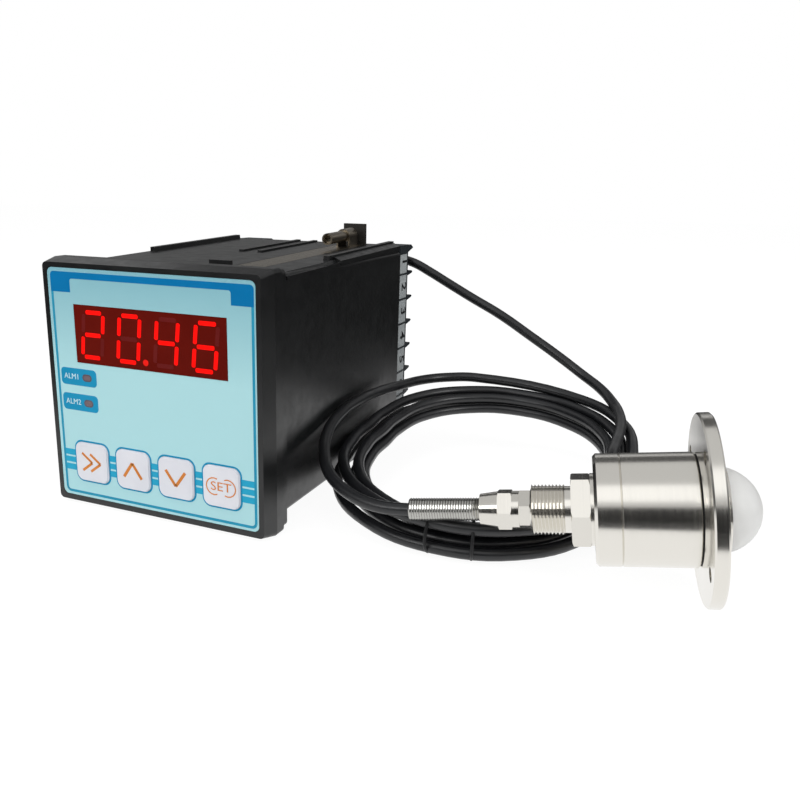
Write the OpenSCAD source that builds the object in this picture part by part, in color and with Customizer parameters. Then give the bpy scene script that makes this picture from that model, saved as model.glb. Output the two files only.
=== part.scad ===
// Radar level transmitter: panel meter, signal cable and flanged radar sensor.
// Units: millimetres. +Z up, the meter's display faces -Y.
// Origin: centre of the flat bottom of the meter's bezel, on the surface the set stands on.

/* [Meter front] */
// Side of the square bezel
bezel_side = 96; // [92:0.5:100]
// Depth of the front part of the bezel
bezel_depth = 12; // [10:0.5:16]
// Depth of the flat land on the bezel's sides, behind its drafted front edge
land_depth = 5; // [4:0.5:6]
// Depth of the stepped rear part of the bezel, which seats on the panel
collar_depth = 4; // [4:0.5:12]
// How far each side of the front face lies inside the bezel's full size
bezel_draft = 1.4; // [0.4:0.1:2]
// How far the rear part is set in from the bezel's full size
collar_inset = 0.8; // [0.4:0.1:1.2]
// Thickness of the bezel's front wall
front_wall = 2.4; // [1.8:0.1:3]
// Side of the printed front overlay
overlay_side = 89; // [86:0.5:89]
// Thickness of the front overlay
overlay_t = 0.5; // [0.3:0.1:0.8]
// Width of the display window
window_w = 66.4; // [60:0.2:68]
// Height of the display window
window_h = 22; // [18:0.5:24]
// Height of the window's centre above the bezel's bottom
window_z = 68.6; // [66:0.2:70]
// Side of a key cap
key_side = 15.4; // [13:0.2:16]
// Spacing of the keys
key_pitch = 19.5; // [18.5:0.1:20]
// Height of the key row's centre above the bezel's bottom
key_z = 18.5; // [17:0.5:21]
// How far a key cap stands proud of the overlay
key_proud = 0.7; // [0.3:0.1:1.2]
// Travel of a key
key_travel = 0.5; // [0.3:0.05:0.6]

/* [Meter case] */
// Width of the case sleeve
case_w = 91; // [88:0.5:91.5]
// Length of the case sleeve behind the bezel's front part
case_len = 118; // [90:1:140]
// Height of the sleeve's underside above the bezel's bottom
case_bottom = 4.8; // [4:0.1:6]
// Height of the sleeve's flat top above the bezel's bottom
case_top = 93.3; // [90:0.1:93.5]
// Wall of the sleeve
case_wall = 2; // [1.6:0.1:3]
// How much higher the sleeve's top lies at its rear end than at the bezel
top_rise = 2.7; // [0:0.1:2.7]
// Height of the edge ridges on the rear of the sleeve's top
rail_h = 1.8; // [1:0.1:2]
// Thickness of the rear cover
cover_t = 2.5; // [2:0.1:4]

/* [Terminals] */
// Number of terminals in each column
terminal_count = 7; // [5:1:7]
// Spacing of the terminals
terminal_pitch = 11.9; // [10:0.1:12]
// Width of a terminal column
terminal_w = 14; // [12:0.5:18]
// Depth of a terminal column behind the rear cover
terminal_d = 10.5; // [8:0.5:14]
// How far the barrier fins stand behind the terminal column
fin_reach = 7; // [4:0.5:9]
// Thickness of a barrier fin
fin_t = 2; // [1.6:0.1:2.4]
// How far the terminal columns lie above the middle of the case
column_lift = 3.1; // [0:0.1:3.1]

/* [Panel clamp] */
// Sideways position of the clamp
clamp_x = 24; // [18:1:30]
// Width of the clamp bar
bar_w = 12; // [9:0.5:13]
// Thickness of the clamp bar
bar_t = 1.2; // [0.8:0.1:1.6]
// Thread diameter of the clamp screw
clamp_screw_d = 3; // [2:0.5:3]
// Outer diameter of the threaded sleeve on the bar
sleeve_d = 5; // [4.6:0.1:6]
// Length of the threaded sleeve
sleeve_len = 27; // [18:1:30]

/* [Sensor] */
// Diameter of the mounting flange
flange_d = 59; // [56:1:66]
// Thickness of the mounting flange
flange_t = 4; // [3:0.5:6]
// Pitch circle of the flange holes
flange_pcd = 47; // [45:0.5:50]
// Diameter of a flange hole
flange_hole_d = 4.5; // [3.4:0.1:5.5]
// Diameter of the sensor body
body_d = 35.2; // [34:0.2:38]
// Length of the sensor body between the flange seal and the rear cap
body_len = 21.6; // [18:0.2:30]
// Length of the rear cap's visible part
cap_len = 7.8; // [7:0.2:12]
// Wall of the sensor body
body_wall = 2.4; // [2:0.1:3]
// Outer diameter of the threaded boss round the lens
boss_d = 29; // [28.5:0.1:30]
// How far the threaded boss stands in front of the flange
boss_len = 3; // [2:0.5:6]
// Diameter of the domed lens
lens_d = 26.4; // [25:0.1:26.6]
// Thread diameter of the cable nipple
nipple_d = 16; // [15:0.5:17]
// Length of the cable nipple's thread
nipple_len = 18.3; // [16:0.1:24]
// Width across the flats of the lock nut
lock_nut_af = 21; // [20:0.5:24]
// Thickness of the lock nut
lock_nut_t = 5.8; // [4:0.2:7]

/* [Cable gland] */
// Width across the flats of the gland body
gland_af = 11.2; // [10.6:0.1:13]
// Width across the flats of the gland nut
gland_nut_af = 11.8; // [11:0.1:14]
// Outer diameter of the strain relief spring
spring_d = 7.7; // [7:0.1:8.4]
// Number of turns of the strain relief spring
spring_turns = 27; // [15:1:30]
// Pitch of the strain relief spring
spring_pitch = 0.87; // [0.8:0.01:1]

/* [Cable] */
// Diameter of the signal cable
cable_d = 4.5; // [4:0.1:4.8]

/* [Hidden] */
$fn = 48;
EPS = 0.01;

// Clearances
fit_gap = 0.1;      // between pieces of the meter front
run_gap = 0.05;     // radial, round a turning or sliding round piece
seat_gap = 0.3;     // beside a board or a bar in its guide

// Front of the meter, along Y
back_y = land_depth / 2;
front_y = back_y - bezel_depth;
collar_y = back_y + collar_depth;
recess_y = front_y + overlay_t + fit_gap;
wall_y = recess_y + front_wall;
board_t = 1.6;
board_y = back_y - 2;
board_w = case_w - 2 * case_wall - 2 * seat_gap;
board_drop = 1.2;   // below the board, to the sleeve's floor
board_h = 2 * (bezel_side / 2 - case_bottom - case_wall - board_drop);
bezel_r = 1.8;
mid_z = bezel_side / 2;
face_z = mid_z + 0.2;
overlay_r = 2.2;
window_t = 2;
key_r = 3;
key_flange = 0.8;
key_flange_t = 1;
key_room = key_side + 2 * key_flange + 4 * fit_gap;
key_xs = [-1.5, -0.5, 0.5, 1.5];
key_x0 = 0.25;
stem_d = 3.4;
switch_side = 6;
switch_t = 3.4;
plunger_t = 0.7;
led_x = -29;
led_w = 4;
led_h = 2.2;
led_zs = [window_z - 16.7, window_z - 26.6];
boss_x = board_w / 2 - 2.4;
boss_zs = [mid_z - board_h / 2 + 2.5, mid_z + board_h / 2 - 2.5];
post_d = 5;
board_screw_d = 2.5;

// Case sleeve
case_h = case_top - case_bottom;
case_mid = (case_top + case_bottom) / 2;
case_y0 = back_y;
case_y1 = case_y0 + case_len;
case_r = 2;
rail_y = 44;
ridge_w = 2.8;
rail_out = 0.4;
ledge_drop = 1.1;
ledge_t = 1.3;
ledge_y = 3.5;
cap_t = 4;
catch_x = 7.4;
catch_w = 9.6;
catch_y = 13.3;
catch_h = 1.9;
guide_w = 2.2;
guide_h = 0.8;
guide_y = 60;
cover_y = case_y1 + cover_t;
lip_t = 3;
// The sleeve's sloping top has its own frame: along the slope from the collar, z above the surface
top_y0 = collar_y;
top_slope = atan(top_rise / (case_y1 - top_y0));
cap_len_y = (case_y1 - top_y0) / cos(top_slope) - 0.2;

// Terminal columns
terminal_x1 = case_w / 2;
terminal_x0 = terminal_x1 - terminal_w;
column_h = terminal_count * terminal_pitch;
column_z = case_mid - column_h / 2 + column_lift;
column_top = column_z + column_h;
tag_gap = 0.35;
terminal_y = cover_y + terminal_d;
pocket_w = 7.6;
pocket_d = 3;
screw_d = 3;
screw_head_d = 6;
screw_head_t = 2;
plate_t = 0.9;

// Boards inside the case
main_x = -26;
power_x = 26;
core_w = 22;        // transformer's core and winding
core_h = 44;
core_y0 = 62;
core_len = 36;
winding_w = 26;
winding_h = 24;
winding_len = 24;
relay_side = 15;
relay_y0 = 88;
relay_len = 19;
relay_zs = [-26, -4, 18];
capacitor_d = 12;
capacitor_h = 21;
inner_y0 = board_y + board_t + seat_gap;
inner_y1 = case_y1 - lip_t - seat_gap;
inner_h = case_h - 2 * case_wall - 2 * seat_gap;

// Panel clamp
clamp_travel = 6;
groove_t = bar_t + fit_gap;
bar_y0 = clamp_travel + seat_gap;
screw_z = 4.6;
bracket_t = 0.8;
clamp_plate_y = cap_len_y - 2.4;
clamp_plate_t = 1.5;
clamp_back = 3;
sleeve_y1 = clamp_plate_y - clamp_back;
sleeve_y0 = sleeve_y1 - sleeve_len;
bracket_y0 = sleeve_y1 - 10;
plate_h = 9.4;

// Sensor, built along +X from the flange's back face, then laid on the floor and the coil
sensor_rise = 7;
sensor_yaw = 9;
sensor_x = 184.7;
sensor_y = 15.1;
flange_edge = 0.5;
sensor_z = flange_d / 2 * cos(sensor_rise) - flange_edge * sin(sensor_rise);
body_r = body_d / 2;
seal_t = 0.5;
seal_x = -0.8 - seal_t;
body_x0 = seal_x - body_len;
cap_x0 = body_x0 - cap_len;
bore_r = body_r - body_wall;
lens_r = lens_d / 2;
lens_seat = -3;
spigot_x = -5;
spigot_wall = 3;
pcb_r = bore_r - seat_gap;
signal_x = body_x0 + 5;
shoulder_t = 1;
shoulder_r = 11.4;
nut_x1 = cap_x0 - shoulder_t;
nut_x0 = nut_x1 - lock_nut_t;
nipple_x0 = nut_x1 - nipple_len;
nipple_r = nipple_d / 2;
thread_depth = 0.6;
nipple_bore = 5;
spigot_r = 7;
gland_hex_t = 3.6;
gland_x1 = nipple_x0;
gland_x0 = gland_x1 - gland_hex_t;
collar_t = 2.2;
gland_collar_r = 6;
nut_face = gland_x0 - collar_t;
gland_nut_t = 4.5;
cone_len = 5.8;
cone_r = 5.1;
thread_r = 4.5;
gland_nut_x0 = nut_face - gland_nut_t - cone_len;
gland_thread_x = nut_face - gland_nut_t;
seal_len = 3;
cable_r = cable_d / 2;
spring_r = spring_d / 2;
spring_wire = 0.8;
spring_len = spring_turns * spring_pitch;
spring_x0 = gland_nut_x0 - spring_len;
hex_k = 2 / sqrt(3);

// Coil of cable: a racetrack of turns, leaning on the meter's side
coil_pos = [104.5, 72.8, 16];
coil_tilt = [6.6, 2.3, 0];
coil_r = 50;
coil_straight = 28;
bundle_r = 6.8;
tie_angles = [-2, 14];
tie_wire = 1.2;
tie_r = bundle_r + tie_wire / 2 + 0.15;

// Cable runs that are not coiled: points along the middle of the cable
cable_start = gland_nut_x0 + 1;
sensor_dir = [cos(sensor_rise) * cos(sensor_yaw), cos(sensor_rise) * sin(sensor_yaw),
  sin(sensor_rise)];
run_start = [sensor_x, sensor_y, sensor_z] + cable_start * sensor_dir;
run_exit = [sensor_x, sensor_y, sensor_z] + (spring_x0 - 3) * sensor_dir;
sensor_run = [run_start, run_exit, [84, 1, 17.5], [74, 4, 18.5], [64, 10, 21], [55.5, 21, 24.5],
  [50, 35, 29.5], [48.6, 50, 33], [48.6, 68, 34], [49.5, 88, 33.5], [52.5, 107, 32.5],
  [59, 124, 32.5], [69, 133.5, 32.8], [81, 137, 33.2]];
meter_run = [[120, 143.5, 19], [131, 141.5, 15], [142, 136.5, 11.5], [153, 129, 8.5],
  [164, 121, 6], [176, 112, 4], [187, 101, 2.6], [194, 88, 2.6], [195, 74, 3], [190, 61, 4.5],
  [180, 52.5, 8], [168, 50.5, 14], [158, 56, 21.5], [153.5, 67, 24.8], [153, 79, 26],
  [153, 91, 27], [152.5, 102, 28], [150.5, 114, 29.5], [146, 126, 31.5], [139.5, 135, 34.8],
  [130, 142, 39], [118, 145, 46], [104, 147, 54], [89, 147, 63], [74, 147, 70.5], [62, 146, 77],
  [53, 145, 82], [45, 144, 86], [38, 144, 87.7]];
core_d = 1.4;
core_ring_r = 0.95;

// Smooth curve through a list of points, with steps rings between neighbours
function spline_point(a, b, c, d, t) = 0.5 * ((2 * b) + (c - a) * t
  + (2 * a - 5 * b + 4 * c - d) * t * t + (3 * b - a - 3 * c + d) * t * t * t);
function clamp_index(pts, i) = pts[max(0, min(len(pts) - 1, i))];
function smooth_run(pts, steps) = concat([for (i = [0 : len(pts) - 2], s = [0 : steps - 1])
  spline_point(clamp_index(pts, i - 1), pts[i], pts[i + 1], clamp_index(pts, i + 2),
    s / steps)], [pts[len(pts) - 1]]);
function unit(v) = v / norm(v);
function heading(pts, i) = unit(clamp_index(pts, i + 1) - clamp_index(pts, i - 1));

// Solid tube swept along a list of points
module tube(pts, r, sides) {
  ring = [for (i = [0 : len(pts) - 1])
    let (d = heading(pts, i), side = unit(cross(d, [0, 0, 1])), up = cross(side, d))
      for (k = [0 : sides - 1])
        pts[i] + r * (cos(360 * k / sides) * side + sin(360 * k / sides) * up)];
  last = (len(pts) - 1) * sides;
  walls = [for (i = [0 : len(pts) - 2], k = [0 : sides - 1])
    let (a = i * sides + k, b = i * sides + (k + 1) % sides)
      [a, b, b + sides, a + sides]];
  ends = [[for (k = [sides - 1 : -1 : 0]) k], [for (k = [0 : sides - 1]) last + k]];
  polyhedron(ring, concat(walls, ends), convexity = 4);
}

// Flat rectangle with round corners, centred
module rounded_rect(w, h, r) {
  square([w - 2 * r, h], center = true);
  square([w, h - 2 * r], center = true);
  for (sx = [-1, 1], sy = [-1, 1])
    translate([sx * (w / 2 - r), sy * (h / 2 - r)]) circle(r);
}

// Flat slot with round ends, centred, longer along X
module slot_shape(w, h) {
  square([w - h, h], center = true);
  for (sx = [-1, 1]) translate([sx * (w - h) / 2, 0]) circle(d = h);
}

// Extrudes a shape drawn in X and Z from y0 to y1
module along_y(y0, y1, x = 0, z = 0) {
  translate([x, y1, z]) rotate([90, 0, 0]) linear_extrude(y1 - y0) children();
}

// Round bar along Y
module rod_y(d, y0, y1, x, z) {
  translate([x, y0, z]) rotate([-90, 0, 0]) cylinder(d = d, h = y1 - y0);
}

// Box from its low corner to its high corner
module block(low, high) {
  translate(low) cube(high - low);
}

// Places a piece that is drawn in the sensor's own frame
module on_sensor() {
  translate([sensor_x, sensor_y, sensor_z]) rotate([0, -sensor_rise, sensor_yaw]) children();
}

// Turned piece: a profile of [position along X, radius] points spun round X
module turned(profile) {
  rotate([0, 90, 0]) rotate_extrude($fn = 64)
    polygon([for (p = profile) [p[1], p[0]]]);
}

// Cylinder along X from x0 to x1
module rod_x(r, x0, x1) {
  translate([x0, 0, 0]) rotate([0, 90, 0]) cylinder(r = r, h = x1 - x0);
}

// Hexagon bar along X, with its corner circle trimmed at both ends
module hex_x(af, x0, x1, spin, trim) {
  intersection() {
    translate([x0, 0, 0]) rotate([0, 90, 0]) rotate([0, 0, spin])
      cylinder(d = af * hex_k, h = x1 - x0, $fn = 6);
    turned([[x0, 0], [x0, af * hex_k / 2 - trim], [x0 + trim / 2, af * hex_k / 2],
      [x1 - trim / 2, af * hex_k / 2], [x1, af * hex_k / 2 - trim], [x1, 0]]);
  }
}

// Places a piece that is drawn in the frame of the sleeve's sloping top
module on_top() {
  translate([0, top_y0, case_top]) rotate([top_slope, 0, 0]) children();
}

// ---- Meter front ----

module bezel_shell() {
  land_y = back_y - land_depth;
  hull() {
    along_y(front_y, front_y + EPS, 0, mid_z)
      rounded_rect(bezel_side - 2 * bezel_draft, bezel_side - 2 * bezel_draft, bezel_r, $fn = 24);
    along_y(land_y - EPS, land_y, 0, mid_z) rounded_rect(bezel_side, bezel_side, bezel_r, $fn = 24);
  }
  along_y(land_y - EPS, back_y, 0, mid_z) rounded_rect(bezel_side, bezel_side, bezel_r);
  along_y(back_y - EPS, collar_y, 0, mid_z)
    rounded_rect(bezel_side - 2 * collar_inset, bezel_side - 2 * collar_inset, bezel_r);
}

module bezel() {
  color("#1c1d1f") {
    difference() {
      bezel_shell();
      // recess for the overlay, the rear hollow and the seat of the case sleeve
      along_y(front_y - 1, recess_y, 0, face_z)
        rounded_rect(overlay_side + 2 * fit_gap, overlay_side + 2 * fit_gap, overlay_r + fit_gap);
      along_y(wall_y, collar_y + 1, 0, case_mid)
        square([case_w - 2 * case_wall, case_h - 2 * case_wall], center = true);
      along_y(case_y0, collar_y + 1, 0, case_mid)
        rounded_rect(case_w + 2 * fit_gap, case_h + 2 * fit_gap, case_r);
      // openings in the front wall
      along_y(front_y - 1, wall_y + 1, 0, window_z) square([window_w, window_h], center = true);
      for (z = led_zs) along_y(front_y - 1, wall_y + 1, led_x, z)
        slot_shape(led_w + 2 * fit_gap, led_h + 2 * fit_gap);
      for (k = key_xs) along_y(front_y - 1, wall_y + 1, key_x0 + k * key_pitch, key_z)
        rounded_rect(key_side + 2 * fit_gap, key_side + 2 * fit_gap, key_r);
    }
    // posts that carry the display board
    for (sx = [-1, 1], z = boss_zs) difference() {
      rod_y(post_d, wall_y - EPS, board_y, sx * boss_x, z);
      rod_y(board_screw_d - 2 * fit_gap, board_y - 5, board_y + 1, sx * boss_x, z);
      // room for the key flanges
      for (k = key_xs) along_y(wall_y, board_y - switch_t, key_x0 + k * key_pitch, key_z)
        rounded_rect(key_room, key_room, key_r);
    }
  }
}

module front_overlay() {
  color("#a8d8de") difference() {
    along_y(recess_y - overlay_t, recess_y, 0, face_z)
      rounded_rect(overlay_side, overlay_side, overlay_r);
    along_y(front_y - 1, recess_y + 1, 0, window_z) square([window_w, window_h], center = true);
    for (z = led_zs) along_y(front_y - 1, recess_y + 1, led_x, z)
      slot_shape(led_w + 2 * fit_gap, led_h + 2 * fit_gap);
    for (k = key_xs) along_y(front_y - 1, recess_y + 1, key_x0 + k * key_pitch, key_z)
      rounded_rect(key_side + 2 * fit_gap, key_side + 2 * fit_gap, key_r);
  }
}

module display_window() {
  color("#5a0f12") along_y(front_y + fit_gap, front_y + fit_gap + window_t, 0, window_z)
    square([window_w - 2 * fit_gap, window_h - 2 * fit_gap], center = true);
}

// Four-digit module on its pins, behind the window
module led_display() {
  module_y = front_y + 2 * fit_gap + window_t;
  color("#2a1112") {
    along_y(module_y, board_y, 0, window_z)
      square([window_w - 4 * fit_gap, window_h - 4 * fit_gap], center = true);
  }
}

module alarm_leds() {
  color("#3a1513") for (z = led_zs) {
    along_y(front_y + fit_gap, wall_y, led_x, z) slot_shape(led_w, led_h);
    along_y(wall_y, board_y, led_x, z) slot_shape(led_w + 1, led_h + 1);
  }
}

// Key cap with its retaining flange and stem
module key_cap(k) {
  x = key_x0 + k * key_pitch;
  top_y = front_y - key_proud;
  flange_y = wall_y + fit_gap;
  color("#ececf0") {
    along_y(top_y + 0.4, flange_y, x, key_z) rounded_rect(key_side, key_side, key_r);
    along_y(top_y, top_y + 0.4, x, key_z)
      rounded_rect(key_side - 0.8, key_side - 0.8, key_r - 0.4);
    along_y(flange_y, flange_y + key_flange_t, x, key_z)
      rounded_rect(key_side + 2 * key_flange, key_side + 2 * key_flange, key_r);
    rod_y(stem_d, flange_y + key_flange_t, board_y - switch_t - plunger_t - key_travel - 0.2,
      x, key_z);
  }
}
module key_shift() { key_cap(key_xs[0]); }
module key_up() { key_cap(key_xs[1]); }
module key_down() { key_cap(key_xs[2]); }
module key_set() { key_cap(key_xs[3]); }

module tact_switches() {
  color("#303236") for (k = key_xs) {
    x = key_x0 + k * key_pitch;
    along_y(board_y - switch_t, board_y, x, key_z) square(switch_side, center = true);
    rod_y(stem_d, board_y - switch_t - plunger_t, board_y - switch_t, x, key_z);
  }
}

module display_board() {
  color("#1f6b3a") difference() {
    along_y(board_y, board_y + board_t, 0, mid_z) square([board_w, board_h], center = true);
    for (sx = [-1, 1], z = boss_zs)
      rod_y(board_screw_d + 2 * fit_gap, board_y - 1, board_y + board_t + 1, sx * boss_x, z);
  }
}

module board_screws() {
  head_t = 1.3;
  color("#b9bcc0") for (sx = [-1, 1], z = boss_zs) {
    rod_y(board_screw_d - 4 * fit_gap, board_y - 4, board_y + board_t, sx * boss_x, z);
    rod_y(2 * board_screw_d - 0.4, board_y + board_t, board_y + board_t + head_t,
      sx * boss_x, z);
  }
}

// ---- Meter case ----

module case_profile(inset) {
  rounded_rect(case_w - 2 * inset, case_h - 2 * inset, max(case_r - inset, 0.5));
}

// Sloping cap of the sleeve's top, with chamfered edges
module case_cap() {
  side = case_w / 2;
  half = [[side - 2.1, 0], [side - 1.1, -ledge_drop], [side - 0.3, -ledge_drop],
    [side - 0.3, -cap_t]];
  on_top() along_y(0, cap_len_y) polygon(concat(half,
    [for (i = [len(half) - 1 : -1 : 0]) [-half[i][0], half[i][1]]]));
}

module case_rails() {
  x0 = case_w / 2 - 5.4;
  x1 = x0 + ridge_w;
  on_top() for (side = [0, 1]) mirror([side, 0, 0]) {
    // ledge down each side, clear of the panel's seat
    along_y(ledge_y, cap_len_y) polygon([[case_w / 2 - 1.3, -ledge_drop],
      [case_w / 2 + rail_out, -ledge_drop], [case_w / 2 + rail_out, -ledge_drop - ledge_t],
      [case_w / 2 - 1.3, -ledge_drop - ledge_t]]);
    // edge ridge on the rear of the top, and the band that slopes from it to the side
    along_y(rail_y, cap_len_y) polygon([[x0, -0.5], [x0 + 0.3, rail_h], [x1, rail_h], [x1, -0.5]]);
    along_y(rail_y + 4, cap_len_y) polygon([[x1 - 0.5, -1.5], [x1 - 0.5, rail_h - 0.8],
      [x1 + 0.2, rail_h - 0.8], [case_w / 2 + rail_out + 0.2, -0.3],
      [case_w / 2 + rail_out + 0.2, -1.9], [case_w / 2 - 1, -1.9]]);
  }
  // lip behind the slot that the bezel's catch snaps into
  on_top() block([catch_x, catch_y, -0.5], [catch_x + catch_w, catch_y + 1.2, catch_h]);
  // low guide ribs on the middle of the top
  on_top() for (x = [-8, 1.2]) block([x, guide_y, -0.5], [x + guide_w, cap_len_y, guide_h]);
}

module case_sleeve() {
  color("#232426") difference() {
    union() {
      along_y(case_y0, case_y1, 0, case_mid) case_profile(0);
      case_cap();
      case_rails();
    }
    along_y(case_y0 - 1, case_y1 + 1, 0, case_mid) case_profile(case_wall);
    // groove of the clamp bar, the catch's slot and the grooves of the lower clamp
    on_top() block([clamp_x - bar_w / 2 - seat_gap, -0.5, -groove_t],
      [clamp_x + bar_w / 2 + seat_gap, cap_len_y + 1, 3]);
    on_top() block([catch_x, catch_y - 4, -case_wall - 2], [catch_x + catch_w, catch_y, 1]);
    for (sx = [-1, 1]) block([sx * clamp_x - bar_w / 2, collar_y + 5, case_bottom - 1],
      [sx * clamp_x + bar_w / 2, case_y1 - 12, case_bottom + 0.8]);
  }
}

module rear_cover() {
  color("#26282b") difference() {
    union() {
      along_y(case_y1, cover_y, 0, case_mid) case_profile(0);
      along_y(case_y1 - lip_t, case_y1 + EPS, 0, case_mid) case_profile(case_wall + fit_gap);
      block([-case_w / 2 + 2, case_y1, case_top - 1], [case_w / 2 - 2, cover_y,
        case_top + top_rise]);
    }
    along_y(case_y1 - lip_t - 1, case_y1, 0, case_mid) case_profile(case_wall + 2);
    // ventilation slots between the terminal columns
    for (i = [-4 : 4]) along_y(case_y1 - 1, cover_y + 1, 0, case_mid + i * 8) slot_shape(34, 2.4);
  }
}

// Extrudes a shape drawn in Y and Z from x0 to x1
module across(x0, x1) {
  translate([x0, 0, 0]) rotate([90, 0, 90]) linear_extrude(x1 - x0) children();
}

// Pointed barrier fin in side view, thinner towards its tip
module fin_shape(z) {
  half = fin_t / 2;
  tip_y = terminal_y + fin_reach;
  polygon([[terminal_y - 1, z - half], [terminal_y - 1, z + half], [tip_y - 1.4, z + half],
    [tip_y, z + half - 0.7], [tip_y - 1.4, z + half - 1.3], [terminal_y + 0.8, z - half]]);
}

// One column of screw terminals with pointed barrier fins; side is 1 or -1
module terminal_column(side) {
  color("#3b4146") mirror([side > 0 ? 0 : 1, 0, 0]) difference() {
    union() {
      block([terminal_x0, cover_y, column_z], [terminal_x1, terminal_y, column_z + column_h]);
      for (i = [0 : terminal_count - 1]) across(terminal_x0, terminal_x1)
        fin_shape(max(column_z + i * terminal_pitch, column_z + fin_t / 2));
      // thick fin that covers the column
      across(terminal_x0, terminal_x1) polygon([[cover_y, column_top - 1.8],
        [cover_y, column_top + 1.8], [terminal_y + fin_reach - 3, column_top + 1.6],
        [terminal_y + fin_reach, column_top], [terminal_y, column_top - 1.8]]);
    }
    for (i = [0 : terminal_count - 1]) {
      z = column_z + (i + 0.5) * terminal_pitch;
      block([terminal_x0 + 2.6, terminal_y - pocket_d, z - pocket_w / 2],
        [terminal_x0 + 2.6 + pocket_w, terminal_y + 1, z + pocket_w / 2]);
      rod_y(screw_d + 2 * fit_gap, terminal_y - 9, terminal_y, terminal_x0 + 2.6 + pocket_w / 2, z);
      // shallow face for the terminal number
      block([terminal_x1 - 0.4, cover_y - 1, z - terminal_pitch / 2 + tag_gap],
        [terminal_x1 + 1, terminal_y - 0.4, min(z + terminal_pitch / 2 - tag_gap,
        column_top - 2.4)]);
    }
  }
}
module terminal_block_right() { terminal_column(1); }
module terminal_block_left() { terminal_column(-1); }

// Runs its children at each terminal screw
module at_terminals() {
  for (side = [-1, 1], i = [0 : terminal_count - 1])
    translate([side * (terminal_x0 + 2.6 + pocket_w / 2), terminal_y - pocket_d,
      column_z + (i + 0.5) * terminal_pitch]) children();
}

module terminal_screws() {
  color("#c9ccd0") at_terminals() difference() {
    union() {
      rod_y(screw_d, -5, plate_t + fit_gap, 0, 0);
      rod_y(screw_head_d, plate_t + fit_gap, plate_t + fit_gap + screw_head_t, 0, 0);
    }
    block([-screw_head_d, plate_t + fit_gap + screw_head_t - 0.9, -0.4],
      [screw_head_d, plate_t + fit_gap + screw_head_t + 1, 0.4]);
  }
}

module terminal_clamps() {
  color("#b8bcae") at_terminals() difference() {
    block([-pocket_w / 2 + seat_gap, 0, -pocket_w / 2 + seat_gap],
      [pocket_w / 2 - seat_gap, plate_t, pocket_w / 2 - seat_gap]);
    rod_y(screw_d + 2 * fit_gap, -1, plate_t + 1, 0, 0);
  }
}

// ---- Inside the meter ----

module main_board() {
  color("#1f6b3a") block([main_x, inner_y0, case_mid - inner_h / 2],
    [main_x + board_t, inner_y1, case_mid + inner_h / 2]);
}

module power_board() {
  color("#1f6b3a") block([power_x - board_t, inner_y0, case_mid - inner_h / 2],
    [power_x, inner_y1, case_mid + inner_h / 2]);
}

module transformer() {
  x1 = power_x - board_t;
  winding_y0 = core_y0 + (core_len - winding_len) / 2;
  color("#6d6f73") block([x1 - core_w, core_y0, case_mid - core_h / 2],
    [x1, core_y0 + core_len, case_mid + core_h / 2]);
  color("#c9a13b") block([x1 - winding_w, winding_y0, case_mid - winding_h / 2],
    [x1, winding_y0 + winding_len, case_mid + winding_h / 2]);
}

module relays() {
  x0 = main_x + board_t;
  color("#2d5fa8") for (z = relay_zs) block([x0, relay_y0, case_mid + z],
    [x0 + relay_side, relay_y0 + relay_len, case_mid + z + relay_side]);
}

module capacitors() {
  color("#26304a") for (p = [[30, -24], [30, 0], [46, 24]])
    translate([power_x - board_t, p[0], case_mid + p[1]]) rotate([0, -90, 0])
      cylinder(d = capacitor_d, h = capacitor_h);
}

// ---- Panel clamp ----

// Strip in the groove of the top, with the threaded sleeve held under a bent bracket at its rear
module clamp_bar() {
  bracket_r = sleeve_d / 2 + bracket_t;
  color("#8f8874") on_top() {
    block([clamp_x - bar_w / 2, bar_y0, -bar_t], [clamp_x + bar_w / 2, sleeve_y1, 0]);
    difference() {
      union() {
        rod_y(sleeve_d, sleeve_y0, sleeve_y1, clamp_x, screw_z);
        rod_y(2 * bracket_r, bracket_y0, sleeve_y1 - 1, clamp_x, screw_z);
        block([clamp_x - bracket_r, bracket_y0, -EPS], [clamp_x + bracket_r, sleeve_y1 - 1,
          screw_z]);
      }
      rod_y(clamp_screw_d + 2 * run_gap, sleeve_y0 - 1, sleeve_y1 + 1, clamp_x, screw_z);
      rod_y(sleeve_d - 1.2, sleeve_y0 - 1, sleeve_y0 + 3, clamp_x, screw_z);
      // daylight between the bracket's legs, under the sleeve
      block([clamp_x - bracket_r + bracket_t, bracket_y0 - 1, 0], [clamp_x + bracket_r - bracket_t,
        sleeve_y1, screw_z - sleeve_d / 2 + 0.3]);
      // driver slot across the open end of the sleeve
      block([clamp_x - 0.6, sleeve_y0 - 1, screw_z], [clamp_x + 0.6, sleeve_y0 + 2,
        screw_z + sleeve_d]);
    }
  }
}

module clamp_plate() {
  half_w = bar_w / 2 - 0.5;
  color("#2e2d2b") on_top() difference() {
    union() {
      block([clamp_x - half_w, clamp_plate_y, -bar_t], [clamp_x + half_w,
        clamp_plate_y + clamp_plate_t, plate_h]);
      block([clamp_x - half_w, clamp_plate_y - 1.5, -bar_t], [clamp_x + half_w, cap_len_y, 0]);
    }
    rod_y(clamp_screw_d - 1, clamp_plate_y - 1, clamp_plate_y + clamp_plate_t + 1,
      clamp_x, screw_z);
  }
}

module clamp_screw() {
  screw_y1 = clamp_plate_y - fit_gap;
  color("#a7a9ac") on_top() difference() {
    rod_y(clamp_screw_d, sleeve_y0 + 5, screw_y1, clamp_x, screw_z);
    block([clamp_x - clamp_screw_d, screw_y1 - 1, screw_z - 0.3],
      [clamp_x + clamp_screw_d, screw_y1 + 1, screw_z + 0.3]);
  }
}

// ---- Sensor ----

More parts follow.
